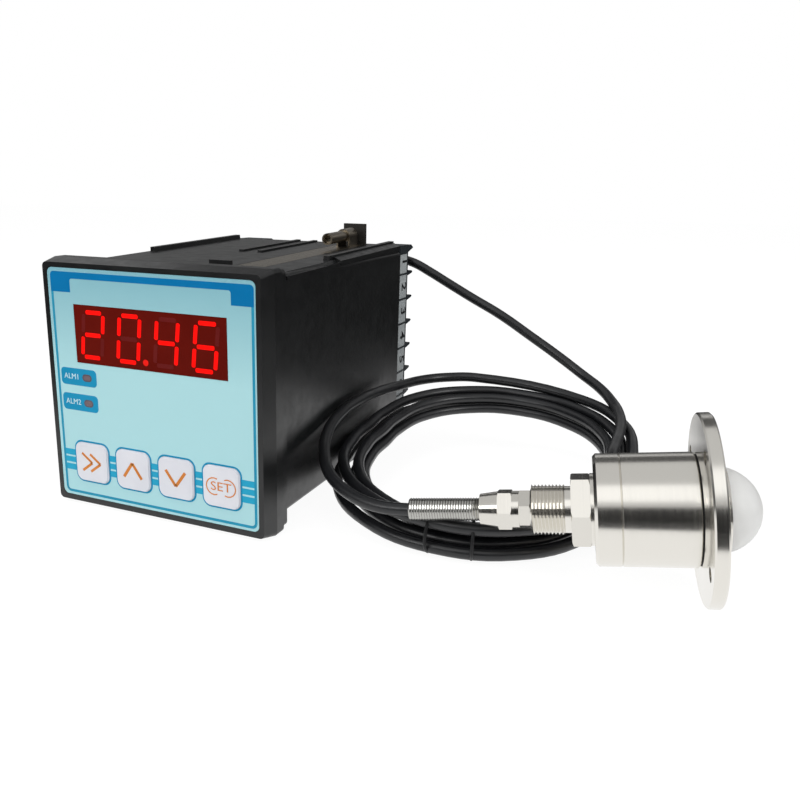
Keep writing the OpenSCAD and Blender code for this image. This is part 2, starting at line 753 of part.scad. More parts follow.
module front_flange() {
  edge = flange_edge;
  front_x = flange_t + boss_len;
  color("#d4d6d8") on_sensor() difference() {
    turned([[spigot_x, bore_r - fit_gap - spigot_wall], [spigot_x, bore_r - fit_gap],
      [seal_x, bore_r - fit_gap], [seal_x + seal_t, bore_r - fit_gap],
      [seal_x + seal_t, body_r - 0.1], [0, body_r - 0.1], [0, flange_d / 2 - edge],
      [edge, flange_d / 2], [flange_t - edge, flange_d / 2], [flange_t, flange_d / 2 - edge],
      [flange_t, boss_d / 2], [front_x - 0.8, boss_d / 2], [front_x, boss_d / 2 - 0.6],
      [front_x, lens_r + fit_gap], [lens_seat, lens_r + fit_gap],
      [lens_seat, bore_r - fit_gap - spigot_wall]]);
    for (i = [0 : 3]) rotate([30 + 90 * i, 0, 0]) translate([-1, 0, flange_pcd / 2])
      rotate([0, 90, 0]) cylinder(d = flange_hole_d, h = flange_t + 2);
  }
}

module flange_seal() {
  color("#151515") on_sensor() turned([[seal_x, bore_r], [seal_x, body_r - 0.7],
    [seal_x + seal_t, body_r - 0.7], [seal_x + seal_t, bore_r]]);
}

module sensor_body() {
  edge = 0.3;
  color("#cfd1d4") on_sensor() turned([[body_x0, bore_r], [body_x0, body_r - edge],
    [body_x0 + edge, body_r], [seal_x - edge, body_r], [seal_x, body_r - edge],
    [seal_x, bore_r]]);
}

module rear_cap() {
  edge = 0.9;
  color("#cfd1d4") on_sensor() turned([[cap_x0, spigot_r + fit_gap], [cap_x0, body_r - edge],
    [cap_x0 + edge, body_r], [body_x0 - 0.3, body_r], [body_x0, body_r - 0.3],
    [body_x0, bore_r - fit_gap], [signal_x, bore_r - fit_gap], [signal_x, bore_r - 2.2],
    [cap_x0 + 3, bore_r - 2.2], [cap_x0 + 3, spigot_r + fit_gap]]);
}

module lens_dome() {
  color("#f0f0ee") on_sensor() {
    intersection() {
      translate([flange_t, 0, 0]) sphere(lens_r, $fn = 64);
      rod_x(lens_r + 1, flange_t, flange_t + lens_r + 1);
    }
    rod_x(lens_r, lens_seat, flange_t);
  }
}

module radar_board() {
  color("#1f6b3a") on_sensor() {
    rod_x(pcb_r, spigot_x - board_t, spigot_x);
    translate([spigot_x, -6, -6]) cube([0.8, 12, 12]);
  }
}

module signal_board() {
  color("#1f6b3a") on_sensor() {
    rod_x(pcb_r, signal_x, signal_x + board_t);
    translate([signal_x + board_t, -6, -5]) cube([2.5, 12, 10]);
  }
}

module board_spacers() {
  color("#c8a85a") on_sensor() for (i = [0 : 2]) rotate([60 + 120 * i, 0, 0])
    translate([0, 0, pcb_r - 3]) rod_x(2, signal_x + board_t, spigot_x - board_t);
}

module cable_nipple() {
  edge = 0.8;
  // the threaded stretch is as thick as the thread's root
  root_r = nipple_r - thread_depth;
  color("#c4c6c9") on_sensor() turned([[nipple_x0, nipple_bore], [nipple_x0, root_r - edge],
    [nipple_x0 + edge, root_r], [nut_x1, root_r], [nut_x1, shoulder_r],
    [cap_x0, shoulder_r], [cap_x0, spigot_r], [cap_x0 + 3, spigot_r],
    [cap_x0 + 3, nipple_bore]]);
}

module lock_nut() {
  color("#c9cbce") on_sensor() difference() {
    hex_x(lock_nut_af, nut_x0, nut_x1, 20, 0.8);
    rod_x(nipple_r - thread_depth + run_gap, nut_x0 - 1, nut_x1 + 1);
  }
}

module gland_body() {
  color("#cfc9b8") on_sensor() difference() {
    union() {
      hex_x(gland_af, gland_x0, gland_x1, 0, 0.5);
      rod_x(nipple_bore - run_gap, gland_x1 - EPS, gland_x1 + 6);
      rod_x(thread_r, gland_thread_x, gland_x0 + EPS);
    }
    rod_x(cable_r + 0.4, gland_thread_x - 1, gland_x1 + 7);
  }
}

module gland_collar() {
  color("#cfc9b8") on_sensor() difference() {
    rod_x(gland_collar_r, nut_face, gland_x0);
    rod_x(thread_r + run_gap, nut_face - 1, gland_x0 + 1);
  }
}

module gland_nut() {
  color("#cfc9b8") on_sensor() difference() {
    union() {
      hex_x(gland_nut_af, gland_thread_x, nut_face, 20, 0.5);
      turned([[gland_nut_x0, 0], [gland_nut_x0, cone_r], [gland_thread_x + EPS,
        gland_nut_af / 2], [gland_thread_x + EPS, 0]]);
    }
    rod_x(thread_r + run_gap, gland_thread_x - seal_len - fit_gap, nut_face + 1);
    rod_x(cable_r + 0.4, gland_nut_x0 - 1, nut_face + 1);
  }
}

module gland_seal() {
  color("#1a1a1a") on_sensor() difference() {
    rod_x(thread_r - run_gap, gland_thread_x - seal_len, gland_thread_x - fit_gap);
    rod_x(cable_r + 0.2, gland_thread_x - seal_len - 1, gland_thread_x);
  }
}

// Close-wound spring: one ridge for each turn
module strain_spring() {
  bore = spring_r - spring_wire;
  groove = 0.3;
  color("#b4b6b8") on_sensor() turned(concat([[spring_x0, bore], [spring_x0, spring_r - groove]],
    [for (i = [0 : spring_turns - 1], p = [[0.5, 0], [1, groove]])
      [spring_x0 + (i + p[0]) * spring_pitch, spring_r - p[1]]],
    [[gland_nut_x0, bore]]));
}

// ---- Cable ----

module cable_sensor_run() {
  color("#141516") tube(smooth_run(sensor_run, 2), cable_r, 8);
}

module cable_meter_run() {
  color("#141516") tube(smooth_run(meter_run, 1), cable_r, 8);
}

// Half a ring of the coil, at the end that side names
module coil_end(side) {
  translate([0, side * coil_straight / 2, 0]) rotate([0, 0, side > 0 ? 0 : 180])
    rotate_extrude(angle = 180, $fn = 64) translate([coil_r, 0]) circle(bundle_r, $fn = 32);
}

module cable_coil() {
  color("#141516") translate(coil_pos) rotate(coil_tilt) {
    for (side = [-1, 1]) coil_end(side);
    for (side = [-1, 1]) translate([side * coil_r, coil_straight / 2, 0]) rotate([90, 0, 0])
      cylinder(r = bundle_r, h = coil_straight, $fn = 32);
  }
}

module cable_ties() {
  color("#101010") translate(coil_pos) rotate(coil_tilt) for (a = tie_angles)
    translate([0, -coil_straight / 2, 0]) rotate([0, 0, a]) translate([0, -coil_r, 0])
      rotate([0, 90, 0]) rotate_extrude() translate([tie_r, 0]) circle(d = tie_wire, $fn = 16);
}

// Three cores from the end of the sheath to the first terminals
module cable_cores() {
  x = terminal_x0 + 2.6 + pocket_w / 2;
  end_y = terminal_y - pocket_d + plate_t + screw_head_t + 1;
  start = meter_run[len(meter_run) - 1] - [0.6, 0, 0];
  color("#8a2a22") for (i = [0 : 2]) {
    z = column_z + (terminal_count - 0.5 - i) * terminal_pitch;
    a = 90 + 120 * i;
    first = start + core_ring_r * [0, cos(a), sin(a)];
    tube([first, first - [2.4, -0.5, 0.6], [x - 10, end_y + 5.2, z + 3], [x - 3.4, end_y + 0.8, z],
      [x - 1, end_y, z]], core_d / 2, 6);
  }
}

bezel();
front_overlay();
display_window();
led_display();
alarm_leds();
key_shift();
key_up();
key_down();
key_set();
tact_switches();
display_board();
board_screws();
case_sleeve();
rear_cover();
terminal_block_right();
terminal_block_left();
terminal_screws();
terminal_clamps();
main_board();
power_board();
transformer();
relays();
capacitors();
clamp_bar();
clamp_plate();
clamp_screw();
front_flange();
flange_seal();
sensor_body();
rear_cap();
lens_dome();
radar_board();
signal_board();
board_spacers();
cable_nipple();
lock_nut();
gland_body();
gland_collar();
gland_nut();
gland_seal();
strain_spring();
cable_sensor_run();
cable_coil();
cable_meter_run();
cable_cores();
cable_ties();
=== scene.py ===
import bmesh
import bpy
from math import cos, pi, radians, sin, tan
from mathutils import Matrix, Vector


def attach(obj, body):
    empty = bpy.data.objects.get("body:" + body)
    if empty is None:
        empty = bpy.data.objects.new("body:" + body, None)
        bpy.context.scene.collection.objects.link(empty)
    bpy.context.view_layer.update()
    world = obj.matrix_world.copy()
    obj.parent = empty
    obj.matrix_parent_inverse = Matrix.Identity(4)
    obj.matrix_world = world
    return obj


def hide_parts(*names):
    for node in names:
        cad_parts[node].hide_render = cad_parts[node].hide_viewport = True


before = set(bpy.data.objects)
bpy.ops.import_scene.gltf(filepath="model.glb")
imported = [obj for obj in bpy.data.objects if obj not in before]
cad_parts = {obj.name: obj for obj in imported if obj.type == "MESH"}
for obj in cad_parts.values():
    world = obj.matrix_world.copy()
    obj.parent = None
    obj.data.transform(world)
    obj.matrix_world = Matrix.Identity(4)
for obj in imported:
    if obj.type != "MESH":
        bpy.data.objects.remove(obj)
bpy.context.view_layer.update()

MM = 0.001
scene = bpy.context.scene
scene.view_settings.view_transform = "Standard"


def mm(*xyz):
    return Vector(xyz) * MM


# ---------------------------------------------------------------- camera

camera_data = bpy.data.cameras.new("camera")
camera = bpy.data.objects.new("camera", camera_data)
scene.collection.objects.link(camera)
view_right = Vector((0.909, 0.4167, 0.0112)).normalized()
view_ahead = Vector((-0.3999, 0.8793, -0.2586)).normalized()
view_up = view_right.cross(view_ahead).normalized()
view_right = view_ahead.cross(view_up)
camera.matrix_world = Matrix.Translation(mm(180.1, -239.7, 123.9)) @ Matrix(
    (view_right, view_up, -view_ahead)
).transposed().to_4x4()
camera_data.sensor_width = 36
camera_data.lens = 36.54
camera_data.shift_x = 0.075
camera_data.clip_start = 0.01
scene.camera = camera

# ---------------------------------------------------------------- signal cable

CABLE_D = 4.5
SENSOR_AT = Vector((184.7, 15.1, 29.2193))
SENSOR_TURN = Matrix.Rotation(radians(9), 3, "Z") @ Matrix.Rotation(radians(-7), 3, "Y")
SPRING_TIP = -89.59
GLAND_MOUTH = -66.1


def on_sensor(x, y=0.0, z=0.0):
    """A point given along the sensor's own axis, in the part's frame."""
    return SENSOR_AT + SENSOR_TURN @ Vector((x, y, z))


# from the gland, past the spring, round the left of the coil and over its far side
SENSOR_RUN = [
    on_sensor(GLAND_MOUTH + 1), on_sensor(SPRING_TIP - 3), (84, 1, 17.5), (74, 4, 18.5),
    (64, 10, 21), (55.5, 21, 24.5), (50, 35, 29.5), (48.6, 50, 33), (48.6, 68, 34),
    (49.5, 88, 33.5), (52.5, 107, 32.5), (59, 124, 32.5), (69, 133.5, 32.8), (81, 137, 33.2),
]
# out of the coil, round a loose loop behind the sensor and up to the terminals
METER_RUN = [
    (120, 143.5, 19), (131, 141.5, 15), (142, 136.5, 11.5), (153, 129, 8.5), (164, 121, 6),
    (176, 112, 4), (187, 101, 2.6), (194, 88, 2.6), (195, 74, 3), (190, 61, 4.5),
    (180, 52.5, 8), (168, 50.5, 14), (158, 56, 21.5), (153.5, 67, 24.8), (153, 79, 26),
    (153, 91, 27), (152.5, 102, 28), (150.5, 114, 29.5), (146, 126, 31.5), (139.5, 135, 34.8),
    (130, 142, 39), (118, 145, 46), (104, 147, 54), (89, 147, 63), (74, 147, 70.5),
    (62, 146, 77), (53, 145, 82), (45, 144, 86), (38, 144, 87.7),
]
COIL_AT = Vector((104.5, 72.8, 16))
COIL_TURN = Matrix.Rotation(radians(2.3), 3, "Y") @ Matrix.Rotation(radians(6.6), 3, "X")
COIL_R = 50
COIL_HALF_STRAIGHT = 14
# where each turn lies in the bundle as it passes the far side: outwards, upwards
TURN_SEATS = [(4.8, 7.2), (1.2, 4.0), (-3.6, 2.4), (-4.0, -2.6), (0.6, -4.6), (5.6, -3.4)]


def coil_stations():
    """Clockwise round the coil from its far side: middle-line point and outward direction."""
    arc = [(a, COIL_HALF_STRAIGHT) for a in (90, 60, 30, 0)]
    arc += [(0, 0)]
    arc += [(a, -COIL_HALF_STRAIGHT) for a in (0, -30, -60, -90, -120, -150, -180)]
    arc += [(180, 0)]
    arc += [(a, COIL_HALF_STRAIGHT) for a in (180, 150, 120)]
    for angle, shift in arc:
        out = Vector((cos(radians(angle)), sin(radians(angle)), 0))
        yield out * COIL_R + Vector((0, shift, 0)), out


def coil_points():
    stations = list(coil_stations())
    count = len(stations)
    points = []
    for turn in range(len(TURN_SEATS) - 1):
        here, after = TURN_SEATS[turn], TURN_SEATS[turn + 1]
        for i, (middle, out) in enumerate(stations):
            if turn == 0 and i == 0:
                continue
            s = i / count
            s = s * s * (3 - 2 * s)
            outwards = here[0] + (after[0] - here[0]) * s
            upwards = here[1] + (after[1] - here[1]) * s
            # the tie holds the near side flat; the left side is spread
            near = max(0.0, -out.y)
            left = max(0.0, -out.x)
            outwards *= 1 + 0.3 * left + 0.15 * near
            upwards = upwards * (1 + 0.1 * left) - 0.5 * near
            local = middle + out * outwards + Vector((0, 0, upwards))
            points.append(COIL_AT + COIL_TURN @ local)
    return points


cable_curve = bpy.data.curves.new("signal_cable", "CURVE")
cable_curve.dimensions = "3D"
cable_curve.bevel_depth = CABLE_D / 2 * MM
cable_curve.bevel_resolution = 4
cable_curve.resolution_u = 6
cable_curve.use_fill_caps = True
route = [Vector(p) for p in SENSOR_RUN] + coil_points() + [Vector(p) for p in METER_RUN]
spline = cable_curve.splines.new("BEZIER")
spline.bezier_points.add(len(route) - 1)
for knot, place in zip(spline.bezier_points, route):
    knot.co = place * MM
    knot.handle_left_type = knot.handle_right_type = "AUTO"
signal_cable = bpy.data.objects.new("signal_cable", cable_curve)
scene.collection.objects.link(signal_cable)

# ---------------------------------------------------------------- materials


def srgb(code):
    """A hex colour as linear values."""
    parts = [int(code[i:i + 2], 16) / 255 for i in (1, 3, 5)]
    lin = [p / 12.92 if p <= 0.04045 else ((p + 0.055) / 1.055) ** 2.4 for p in parts]
    return (*lin, 1.0)


def add(tree, kind, links=None, values=None, **properties):
    """Adds a node; links feed its inputs and values set those that nothing feeds."""
    node = tree.nodes.new("ShaderNode" + kind)
    for key, value in properties.items():
        setattr(node, key, value)
    for key, value in (values or {}).items():
        node.inputs[key].default_value = value
    for key, source in (links or {}).items():
        tree.links.new(source, node.inputs[key])
    return node


def span(from_min, from_max, to_min=0.0, to_max=1.0):
    """The four ends of a Map Range node."""
    return {"From Min": from_min, "From Max": from_max, "To Min": to_min, "To Max": to_max}


def shader(name, base, roughness, metallic=0.0, **more):
    """A Principled material; more holds other sockets by their own names."""
    material = bpy.data.materials.new(name)
    material.use_nodes = True
    tree = material.node_tree
    surface = tree.nodes["Principled BSDF"]
    surface.inputs["Base Color"].default_value = srgb(base)
    surface.inputs["Roughness"].default_value = roughness
    surface.inputs["Metallic"].default_value = metallic
    for key, value in more.items():
        surface.inputs[key.replace("_", " ")].default_value = value
    return material, tree, surface


def noise_at(tree, scale_mm, detail=3.0, source=None):
    """Noise in the part's frame; scale_mm is the size of one grain or cloud."""
    source = source or add(tree, "TexCoord").outputs["Object"]
    return add(tree, "TexNoise", {"Vector": source},
               {"Scale": 1 / (scale_mm * MM), "Detail": detail})


def grain(tree, surface, scale_mm, depth_mm, strength=1.0, detail=2.0, stretch=None,
          turn=(0, 0, 0)):
    """Bump from fine noise, which may be turned and then stretched."""
    source = None
    if stretch:
        place = add(tree, "TexCoord")
        turned = add(tree, "Mapping", {"Vector": place.outputs["Object"]}, {"Rotation": turn})
        scaled = add(tree, "Mapping", {"Vector": turned.outputs["Vector"]}, {"Scale": stretch})
        source = scaled.outputs["Vector"]
    noise = noise_at(tree, scale_mm, detail, source)
    bump = add(tree, "Bump", {"Height": noise.outputs["Fac"]},
               {"Strength": strength, "Distance": depth_mm * MM})
    tree.links.new(bump.outputs["Normal"], surface.inputs["Normal"])
    return noise


def shade_by(tree, surface, noise, low, high, socket="Base Color", spread=(0.35, 0.65)):
    """Varies a socket between two values (or hex colours) with a noise."""
    ramp = add(tree, "ValToRGB", {"Fac": noise.outputs["Fac"]})
    ends = ramp.color_ramp.elements
    ends[0].position, ends[1].position = spread
    if isinstance(low, str):
        ends[0].color, ends[1].color = srgb(low), srgb(high)
    else:
        ends[0].color, ends[1].color = (low,) * 3 + (1,), (high,) * 3 + (1,)
    tree.links.new(ramp.outputs["Color"], surface.inputs[socket])


def moulded(name, base, darker, roughness, grain_mm=0.35, depth_mm=0.02, rough_span=0.06,
            sheen=0.3):
    """Injection-moulded plastic: spark-eroded grain and a slightly uneven sheen."""
    material, tree, surface = shader(name, base, roughness, Specular_IOR_Level=sheen)
    grain(tree, surface, grain_mm, depth_mm, 0.6)
    shade_by(tree, surface, noise_at(tree, COLOUR_CLOUD), darker, base)
    shade_by(tree, surface, noise_at(tree, SHEEN_CLOUD), roughness - rough_span,
             roughness + rough_span, "Roughness")
    return material


def ink(name, base, darker, sheen=0.3):
    """Screen-printed ink, thin enough to keep the film's own fine grain."""
    return moulded(name, base, darker, 0.4, 0.25, 0.003, sheen=sheen)


def turned_metal(name, base, roughness, line_mm, depth_mm, turn=(0, 0, 0)):
    """Metal finished on a lathe: fine rings round the axis, a streaky sheen."""
    material, tree, surface = shader(name, base, roughness, 1.0)
    lines = grain(tree, surface, 1.0, depth_mm, 0.5, 3.0, (1 / line_mm, 0.02, 0.02), turn)
    shade_by(tree, surface, lines, roughness - STREAKS, roughness + STREAKS, "Roughness",
             (0.3, 0.7))
    return material


def led(name, base, glow, strength, cloud_mm, low, high):
    """An LED under its diffuser."""
    material, tree, surface = shader(name, base, 0.5, Specular_IOR_Level=0.05,
                                     Emission_Color=srgb(glow), Emission_Strength=strength)
    shade_by(tree, surface, noise_at(tree, cloud_mm), low, high)
    return material


def paint_light_by_height(material, top, middle, top_colour, middle_colour):
    """Paints light and shade into a material's colour by height, from its top to its middle."""
    tree = material.node_tree
    place = add(tree, "TexCoord")
    height = add(tree, "SeparateXYZ", {0: place.outputs["Object"]})
    fade = add(tree, "MapRange", {"Value": height.outputs["Z"]}, span(top * MM, middle * MM))
    ramp = add(tree, "ValToRGB", {"Fac": fade.outputs["Result"]})
    ramp.color_ramp.elements[0].color = srgb(top_colour)
    ramp.color_ramp.elements[1].color = srgb(middle_colour)
    tree.links.new(ramp.outputs["Color"],
                   tree.nodes["Principled BSDF"].inputs["Base Color"])


# clouds of colour and of sheen in moulded plastic, and how far a turned sheen varies
COLOUR_CLOUD = 14
SHEEN_CLOUD = 5
STREAKS = 0.05
# undoes the sensor's yaw and rise, so the rings lie square to its axis
SENSOR_SQUARE = tuple(SENSOR_TURN.inverted().to_euler("XYZ"))

# ABS, mould-textured, near black
ABS = moulded("moulded_black_abs", "#151617", "#111213", 0.34, 0.25, 0.004, 0.04, 0.55)
# printed polyester film, matt lacquer
FILM = moulded("printed_polyester_film", "#A9DADF", "#A2D5DB", 0.38, 0.25, 0.004)
# painted reflection: the film's colour is darker at the top of the face and pales towards its
# middle
paint_light_by_height(FILM, 93, 55, "#83B9C5", "#B0DEE3")
INK_DARK = ink("dark_blue_screen_ink", "#0074AE", "#0070A8", 0.08)
INK_MID = ink("mid_blue_screen_ink", "#1E93BE", "#1C8EB8", 0.08)
INK_STRIPE = ink("light_blue_screen_ink", "#2FA9CE", "#2BA3C8", 0.08)
INK_LINE = ink("teal_screen_ink", "#2F97B8", "#2B92B3", 0.08)
INK_PALE = ink("pale_screen_ink", "#D3EDF0", "#C9E8EC")
INK_ORANGE = ink("orange_screen_ink", "#DB8636", "#D17C2E")
INK_BLACK = moulded("black_pad_print", "#17191B", "#101113", 0.5, 0.25, 0.003)
# dyed acrylic filter in front of the LED digits
FILTER, _tree, _surface = shader("red_acrylic_filter", "#62120B", 0.3, Specular_IOR_Level=0.03)
shade_by(_tree, _surface, noise_at(_tree, 20), "#5C1009", "#66140C")
grain(_tree, _surface, 0.8, 0.002, 0.3)
GHOST = moulded("unlit_led_segment", "#6B1614", "#661412", 0.4, 0.5, 0.002, 0.04, 0.12)
LIT = led("lit_led_segment", "#C00804", "#FF0806", 0.75, 3, "#B80603", "#C80C06")
DIM = led("dim_led_point", "#B81410", "#C01008", 0.4, 2, "#CC1610", "#E01E18")
# epoxy body of an unlit indicator
LED_BODY = moulded("smoked_epoxy_led", "#5A545E", "#4C464F", 0.3, 0.6, 0.002)
LED_CORE = moulded("smoked_epoxy_lens", "#75646A", "#6A5A60", 0.3, 0.6, 0.002)
KEY = moulded("white_silicone_key", "#E6E6EC", "#DFDFE6", 0.45, 0.3, 0.006)
PBT = moulded("moulded_grey_pbt", "#2A2F34", "#24292D", 0.5)
PBT_PALE = moulded("pale_grey_pbt", "#B4B9BA", "#AAB0B2", 0.5)
RELAY = moulded("relay_case_pbt", "#2458A0", "#1F4F92", 0.4)
COPPER_BOARD = moulded("green_solder_mask", "#1F6B3A", "#1A5F32", 0.35, 0.8, 0.01)
ZINC = turned_metal("zinc_plated_steel", "#B9B7AE", 0.32, 0.3, 0.003)
BRONZED = turned_metal("passivated_steel", "#8F8677", 0.3, 0.4, 0.003)
# blackened steel for the transformer; on the clamp plate this near-black is painted reflection, for
# a metal tab that looks dark from the dark it mirrors
BLACK_STEEL_AND_PAINTED_REFLECTION = moulded("blackened_steel_and_painted_reflection", "#2E2C29", "#242220", 0.38, 0.2, 0.01)
BRIGHT_WIRE = turned_metal("spring_steel_wire", "#B9B8B4", 0.22, 0.2, 0.002, SENSOR_SQUARE)
STAINLESS = turned_metal("turned_stainless_steel", "#E8E5DE", 0.2, 0.12, 0.004, SENSOR_SQUARE)
NICKEL = turned_metal("nickel_plated_brass", "#E0DDD6", 0.17, 0.4, 0.002, SENSOR_SQUARE)
BRASS = turned_metal("drawn_brass", "#C6A35A", 0.3, 0.3, 0.003, SENSOR_SQUARE)
NITRILE = moulded("nitrile_rubber", "#141414", "#0E0E0E", 0.6)
# PVC sheath: smooth extrusion, oily sheen
SHEATH = moulded("extruded_pvc_sheath", "#17181B", "#101114", 0.34, 1.2, 0.02, 0.05, 0.6)
TIE = moulded("pvc_coated_tie_wire", "#131315", "#0C0C0E", 0.45, 0.6, 0.02)
CORE = moulded("core_insulation", "#8C2A22", "#7F241D", 0.4, 0.6, 0.01)
# PTFE lets light into its surface
PTFE, _tree, _surface = shader("machined_ptfe", "#F3F3F1", 0.42, Subsurface_Weight=0.35,
                               Subsurface_Scale=0.004, Subsurface_Radius=(1.0, 1.0, 1.0))
grain(_tree, _surface, 0.5, 0.004, 0.4)
shade_by(_tree, _surface, noise_at(_tree, 9), "#EFEFED", "#F6F6F4")

CAD_FINISHES = {
    ABS: ["bezel", "case_sleeve", "rear_cover"],
    FILM: ["front_overlay"],
    FILTER: ["display_window"],
    GHOST: ["led_display"],
    LED_BODY: ["alarm_leds"],
    KEY: ["key_shift", "key_up", "key_down", "key_set"],
    NITRILE: ["tact_switches", "flange_seal", "gland_seal", "capacitors"],
    COPPER_BOARD: ["display_board", "main_board", "power_board", "radar_board", "signal_board"],
    ZINC: ["board_screws", "terminal_screws", "terminal_clamps", "clamp_screw"],
    BRONZED: ["clamp_bar"],
    PBT: ["terminal_block_right", "terminal_block_left"],
    # the clamp plate's near-black is painted reflection
    BLACK_STEEL_AND_PAINTED_REFLECTION: ["transformer", "clamp_plate"],
    RELAY: ["relays"],
    STAINLESS: ["front_flange", "sensor_body", "rear_cap", "cable_nipple"],
    NICKEL: ["lock_nut", "gland_body", "gland_collar", "gland_nut"],
    BRASS: ["board_spacers"],
    BRIGHT_WIRE: ["strain_spring"],
    PTFE: ["lens_dome"],
    CORE: ["cable_cores"],
    TIE: ["cable_ties"],
}


def dress(thing, material):
    thing.data.materials.clear()
    thing.data.materials.append(material)


for finish, names in CAD_FINISHES.items():
    for name in names:
        dress(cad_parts[name], finish)

dress(signal_cable, SHEATH)
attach(signal_cable, "set")
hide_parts("cable_sensor_run", "cable_coil", "cable_meter_run")

# ---------------------------------------------------------------- printed front

FRONT_Y = -9.4
INK_T = 0.04


def piece(bm, name, material, body="set", smooth=False):
    """Turns a bmesh given in millimetres into a piece that rides on a body."""
    bmesh.ops.transform(bm, matrix=Matrix.Scale(MM, 4), verts=bm.verts)
    bmesh.ops.recalc_face_normals(bm, faces=bm.faces)
    mesh = bpy.data.meshes.new(name)
    bm.to_mesh(mesh)
    bm.free()
    thing = bpy.data.objects.new(name, mesh)
    scene.collection.objects.link(thing)
    dress(thing, material)
    if smooth:
        for face in mesh.polygons:
            face.use_smooth = True
    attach(thing, body)
    return thing


def cut_corners(bm, made, offset, segments):
    """Bevels the edges of a bar that stand square to the front."""
    edges = {e for v in made for e in v.link_edges
             if abs((e.verts[0].co - e.verts[1].co).normalized().y) > 0.99}
    bmesh.ops.bevel(bm, geom=list(edges), offset=offset, segments=segments, profile=0.5,
                    affect="EDGES", material=-1)


def bar(bm, x0, z0, x1, z1, y=FRONT_Y, t=INK_T, corner=0.0, segments=5):
    """A flat bar on the front face; corner rounds its four corners."""
    made = bmesh.ops.create_cube(bm, size=1)["verts"]
    place = Matrix.Translation(((x0 + x1) / 2, y - t / 2, (z0 + z1) / 2)) @ Matrix.Diagonal(
        (abs(x1 - x0), t, abs(z1 - z0), 1))
    bmesh.ops.transform(bm, matrix=place, verts=made)
    if corner:
        cut_corners(bm, made, corner, segments)


def stroke(bm, a, b, width, y, t=INK_T, point=0.0):
    """A straight stroke from a to b on the front; point cuts its ends to a tip."""
    a, b = Vector((a[0], 0, a[1])), Vector((b[0], 0, b[1]))
    run = b - a
    made = bmesh.ops.create_cube(bm, size=1)["verts"]
    place = Matrix.Translation((a + b) / 2 + Vector((0, y - t / 2, 0)))
    across = Vector((-run.z, 0, run.x)).normalized()
    turn = Matrix((run.normalized(), Vector((0, 1, 0)), across)).transposed().to_4x4()
    size = Matrix.Diagonal((run.length, t, width, 1))
    bmesh.ops.transform(bm, matrix=place @ turn @ size, verts=made)
    if point:
        cut_corners(bm, made, point, 1)


def thicken(bm):
    """Gives flat faces on the front the thickness of a print."""
    raised = bmesh.ops.extrude_face_region(bm, geom=bm.faces[:], use_keep_orig=True)
    bmesh.ops.translate(bm, vec=(0, INK_T, 0),
                        verts=[v for v in raised["geom"] if isinstance(v, bmesh.types.BMVert)])


def round_corners(outline, radii):
    """Replaces the corners of an outline by arcs; radii maps corner numbers to radii."""
    points = []
    count = len(outline)
    for i, corner in enumerate(outline):
        corner = Vector(corner)
        radius = radii.get(i, 0)
        if not radius:
            points.append(tuple(corner))
            continue
        back = (Vector(outline[i - 1]) - corner).normalized()
        on = (Vector(outline[(i + 1) % count]) - corner).normalized()
        centre = corner + (back + on) * radius
        first = centre - on * radius
        last = centre - back * radius
        for k in range(7):
            a = radians(15 * k)
            points.append(tuple(centre + (first - centre) * cos(a) + (last - centre) * sin(a)))
    return points


# the printed line's outer edges, the centres and radius of its two bends
LEFT, RIGHT = -43.2, 43.9
LINE_BOTTOM = 4.7
LINE_W = 1.05
# where the top band's corner blocks end on the left and right, and the band's own edges
BLOCK_ENDS = (83.8, 83.9)
BAND_TOP, BAND_LOW = 91.3, 88.9
BEND_XS = (-40.9, 41.6)
BEND_Z = 7.0
BEND_R = 2.3
BEND_STEPS = 8

# dark top band with its two corner blocks
band = bmesh.new()
outline = round_corners(
    [(LEFT, BLOCK_ENDS[0]), (LEFT, BAND_TOP), (RIGHT, BAND_TOP), (RIGHT, BLOCK_ENDS[1]),
     (35.0, BLOCK_ENDS[1]), (35.0, BAND_LOW), (-34.1, BAND_LOW), (-34.1, BLOCK_ENDS[0])],
    {1: 1.6, 2: 1.6, 5: 1.0, 6: 1.0})
band.faces.new([band.verts.new((x, FRONT_Y - INK_T, z)) for x, z in outline])
thicken(band)
bmesh.ops.triangulate(band, faces=band.faces[:])
piece(band, "overlay_top_band", INK_DARK)

# line down both sides and along the bottom
side_line = bmesh.new()
bar(side_line, LEFT, BEND_Z, LEFT + LINE_W, BLOCK_ENDS[0])
bar(side_line, RIGHT - LINE_W, BEND_Z, RIGHT, BLOCK_ENDS[1])
bar(side_line, BEND_XS[0], LINE_BOTTOM, BEND_XS[1], LINE_BOTTOM + LINE_W)
for cx, start in zip(BEND_XS, (180, 270)):
    for i in range(BEND_STEPS):
        a, b = (radians(start + 90 / BEND_STEPS * (i + d)) for d in (0, 1))
        r = BEND_R - LINE_W / 2
        stroke(side_line, (cx + r * cos(a), BEND_Z + r * sin(a)),
               (cx + r * cos(b), BEND_Z + r * sin(b)), LINE_W, FRONT_Y)
piece(side_line, "overlay_side_line", INK_LINE)

# three stripes behind the keys
KEY_MID = 0.25
KEY_PITCH = 19.5
KEY_XS = [KEY_MID + k * KEY_PITCH for k in (-1.5, -0.5, 0.5, 1.5)]
KEY_Z = 18.5
KEY_HALF = 7.7
# the painted shade round a key opening, for the shadowed gap there: its inner and outer distance
# from the key, its corners
GAP_SHADE_IN, GAP_SHADE_OUT = 0.1, 0.75
GAP_SHADE_CORNERS = (3.0, 3.6)
STRIPES = ((20.2, 22.6), (17.25, 19.45), (14.1, 16.5))
stripes = bmesh.new()
gaps = [LEFT + LINE_W] + [x + s * (KEY_HALF + GAP_SHADE_OUT) for x in KEY_XS for s in (-1, 1)] + [
    RIGHT - LINE_W]
for x0, x1 in zip(gaps[::2], gaps[1::2]):
    for z0, z1 in STRIPES:
        bar(stripes, x0, z0, x1, z1)
piece(stripes, "overlay_key_stripes", INK_STRIPE)
